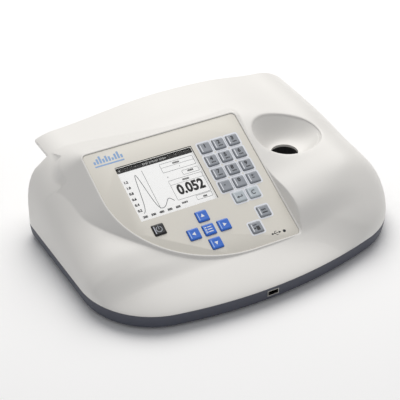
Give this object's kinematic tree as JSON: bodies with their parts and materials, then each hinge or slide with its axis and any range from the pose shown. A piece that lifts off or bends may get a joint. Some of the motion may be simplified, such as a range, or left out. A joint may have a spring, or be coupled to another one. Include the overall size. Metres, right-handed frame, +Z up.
{
  "type": "spectrophotometer",
  "caption": "Compact bench spectrophotometer: white casing with a sloping display and key panel, an oval sample dish over a cell well, and a dark base tray.",
  "frame": {"origin": "on the bench plane, under the middle of the casing", "axes": "+X to the user's right, -Y towards the user, +Z up"},
  "size_m": [0.39, 0.2898, 0.1158],
  "materials": {
    "casing_white": "satin moulded",
    "tray_slate": "fine texture",
    "panel_beige": "matt film",
    "window_clear": "clear",
    "display_white": "matt",
    "circuit_board": "solder mask",
    "silicone_grey": "matt",
    "lamp_dark": "moulded",
    "moulded_black": "matt",
    "anodised_black": "black anodised",
    "bench_aluminium": "cast",
    "grating_mirror": "ruled",
    "socket_steel": "stamped",
    "screw_steel": "zinc plated",
    "key_grey": "matt",
    "key_pale": "matt",
    "key_blue": "matt",
    "key_black": "matt",
    "foot_rubber": "matt"
  },
  "bodies": {
    "instrument": {"top_casing": "casing_white", "base_tray": "tray_slate", "control_panel": "panel_beige", "display_window": "window_clear", "display_module": "display_white", "display_board": "circuit_board", "key_mat": "silicone_grey", "key_board": "circuit_board", "status_lamp": "lamp_dark", "sample_well": "moulded_black", "cell_holder": "anodised_black", "optical_bench": "bench_aluminium", "lamp_housing": "anodised_black", "flash_lamp": "window_clear", "lens_mount": "anodised_black", "condenser_lens": "window_clear", "entrance_slit": "anodised_black", "grating_mount": "anodised_black", "diffraction_grating": "grating_mirror", "detector_board": "circuit_board", "detector_array": "moulded_black", "main_board": "circuit_board", "power_board": "circuit_board", "connector_plate": "tray_slate", "dc_inlet": "moulded_black", "usb_socket_rear": "socket_steel", "usb_socket_front": "socket_steel", "foot_front_left": "foot_rubber", "foot_front_right": "foot_rubber", "foot_rear_left": "foot_rubber", "foot_rear_right": "foot_rubber", "casing_screw_1": "screw_steel", "casing_screw_2": "screw_steel", "casing_screw_3": "screw_steel", "casing_screw_4": "screw_steel"},
    "key_1": {"key_1": "key_grey"},
    "key_2": {"key_2": "key_grey"},
    "key_3": {"key_3": "key_grey"},
    "key_4": {"key_4": "key_grey"},
    "key_5": {"key_5": "key_grey"},
    "key_6": {"key_6": "key_grey"},
    "key_7": {"key_7": "key_grey"},
    "key_8": {"key_8": "key_grey"},
    "key_9": {"key_9": "key_grey"},
    "key_point": {"key_point": "key_grey"},
    "key_0": {"key_0": "key_grey"},
    "key_sign": {"key_sign": "key_grey"},
    "key_back": {"key_back": "key_pale"},
    "key_clear": {"key_clear": "key_pale"},
    "key_view": {"key_view": "key_grey"},
    "key_print": {"key_print": "key_grey"},
    "key_menu": {"key_menu": "key_blue"},
    "key_up": {"key_up": "key_blue"},
    "key_down": {"key_down": "key_blue"},
    "key_left": {"key_left": "key_blue"},
    "key_right": {"key_right": "key_blue"},
    "key_power": {"key_power": "key_black"}
  },
  "joints": [
    {"name": "key_1_press", "type": "slide", "parent": "instrument", "child": "key_1", "axis": [0, 0.4478, -0.8942], "range_m": [0, 0.001], "stiffness_N_per_m": 900},
    {"name": "key_2_press", "type": "slide", "parent": "instrument", "child": "key_2", "axis": [0, 0.4478, -0.8942], "range_m": [0, 0.001], "stiffness_N_per_m": 900},
    {"name": "key_3_press", "type": "slide", "parent": "instrument", "child": "key_3", "axis": [0, 0.4478, -0.8942], "range_m": [0, 0.001], "stiffness_N_per_m": 900},
    {"name": "key_4_press", "type": "slide", "parent": "instrument", "child": "key_4", "axis": [0, 0.4478, -0.8942], "range_m": [0, 0.001], "stiffness_N_per_m": 900},
    {"name": "key_5_press", "type": "slide", "parent": "instrument", "child": "key_5", "axis": [0, 0.4478, -0.8942], "range_m": [0, 0.001], "stiffness_N_per_m": 900},
    {"name": "key_6_press", "type": "slide", "parent": "instrument", "child": "key_6", "axis": [0, 0.4478, -0.8942], "range_m": [0, 0.001], "stiffness_N_per_m": 900},
    {"name": "key_7_press", "type": "slide", "parent": "instrument", "child": "key_7", "axis": [0, 0.4478, -0.8942], "range_m": [0, 0.001], "stiffness_N_per_m": 900},
    {"name": "key_8_press", "type": "slide", "parent": "instrument", "child": "key_8", "axis": [0, 0.4478, -0.8942], "range_m": [0, 0.001], "stiffness_N_per_m": 900},
    {"name": "key_9_press", "type": "slide", "parent": "instrument", "child": "key_9", "axis": [0, 0.4478, -0.8942], "range_m": [0, 0.001], "stiffness_N_per_m": 900},
    {"name": "key_point_press", "type": "slide", "parent": "instrument", "child": "key_point", "axis": [0, 0.4478, -0.8942], "range_m": [0, 0.001], "stiffness_N_per_m": 900},
    {"name": "key_0_press", "type": "slide", "parent": "instrument", "child": "key_0", "axis": [0, 0.4478, -0.8942], "range_m": [0, 0.001], "stiffness_N_per_m": 900},
    {"name": "key_sign_press", "type": "slide", "parent": "instrument", "child": "key_sign", "axis": [0, 0.4478, -0.8942], "range_m": [0, 0.001], "stiffness_N_per_m": 900},
    {"name": "key_back_press", "type": "slide", "parent": "instrument", "child": "key_back", "axis": [0, 0.4478, -0.8942], "range_m": [0, 0.001], "stiffness_N_per_m": 900},
    {"name": "key_clear_press", "type": "slide", "parent": "instrument", "child": "key_clear", "axis": [0, 0.4478, -0.8942], "range_m": [0, 0.001], "stiffness_N_per_m": 900},
    {"name": "key_view_press", "type": "slide", "parent": "instrument", "child": "key_view", "axis": [0, 0.4478, -0.8942], "range_m": [0, 0.001], "stiffness_N_per_m": 900},
    {"name": "key_print_press", "type": "slide", "parent": "instrument", "child": "key_print", "axis": [0, 0.4478, -0.8942], "range_m": [0, 0.001], "stiffness_N_per_m": 900},
    {"name": "key_menu_press", "type": "slide", "parent": "instrument", "child": "key_menu", "axis": [0, 0.4478, -0.8942], "range_m": [0, 0.001], "stiffness_N_per_m": 900},
    {"name": "key_up_press", "type": "slide", "parent": "instrument", "child": "key_up", "axis": [0, 0.4478, -0.8942], "range_m": [0, 0.001], "stiffness_N_per_m": 900},
    {"name": "key_down_press", "type": "slide", "parent": "instrument", "child": "key_down", "axis": [0, 0.4478, -0.8942], "range_m": [0, 0.001], "stiffness_N_per_m": 900},
    {"name": "key_left_press", "type": "slide", "parent": "instrument", "child": "key_left", "axis": [0, 0.4478, -0.8942], "range_m": [0, 0.001], "stiffness_N_per_m": 900},
    {"name": "key_right_press", "type": "slide", "parent": "instrument", "child": "key_right", "axis": [0, 0.4478, -0.8942], "range_m": [0, 0.001], "stiffness_N_per_m": 900},
    {"name": "key_power_press", "type": "slide", "parent": "instrument", "child": "key_power", "axis": [0, 0.4478, -0.8942], "range_m": [0, 0.001], "stiffness_N_per_m": 900}
  ]
}
